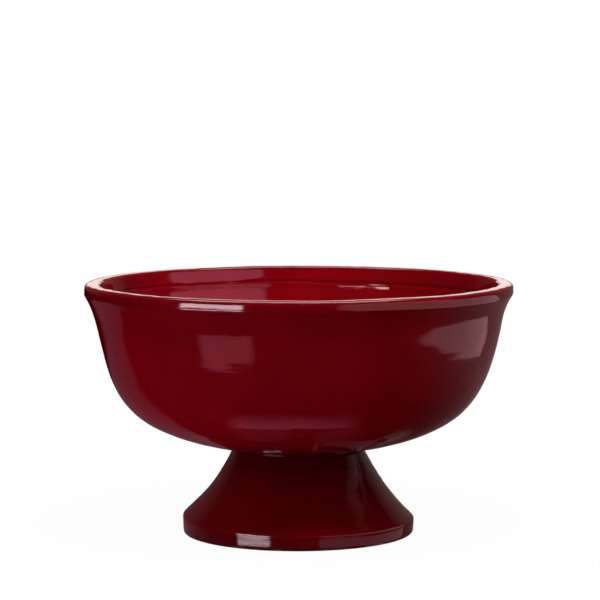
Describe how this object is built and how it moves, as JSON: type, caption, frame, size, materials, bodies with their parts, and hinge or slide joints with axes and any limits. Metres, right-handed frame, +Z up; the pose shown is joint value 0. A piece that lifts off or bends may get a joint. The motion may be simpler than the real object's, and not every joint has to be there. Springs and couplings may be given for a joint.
{
  "type": "footed planter bowl",
  "caption": "Wide round glazed stoneware planter bowl with an everted square lip and an inner ledge, luted onto a hollow flared pedestal foot; stands free and holds a plant or soil",
  "frame": {"origin": "centre of the foot ring, on the surface that the planter stands on", "axes": "+Z up along the axis of revolution; +X to the right and +Y away from the viewer of the picture, though every way round looks alike"},
  "size_m": [0.28, 0.28, 0.165],
  "materials": {
    "red_glaze": "polished",
    "fired_clay": "matte"
  },
  "bodies": {
    "root": {"bowl": "red_glaze", "pedestal_foot": "red_glaze", "slip_joint": "fired_clay"}
  },
  "joints": []
}
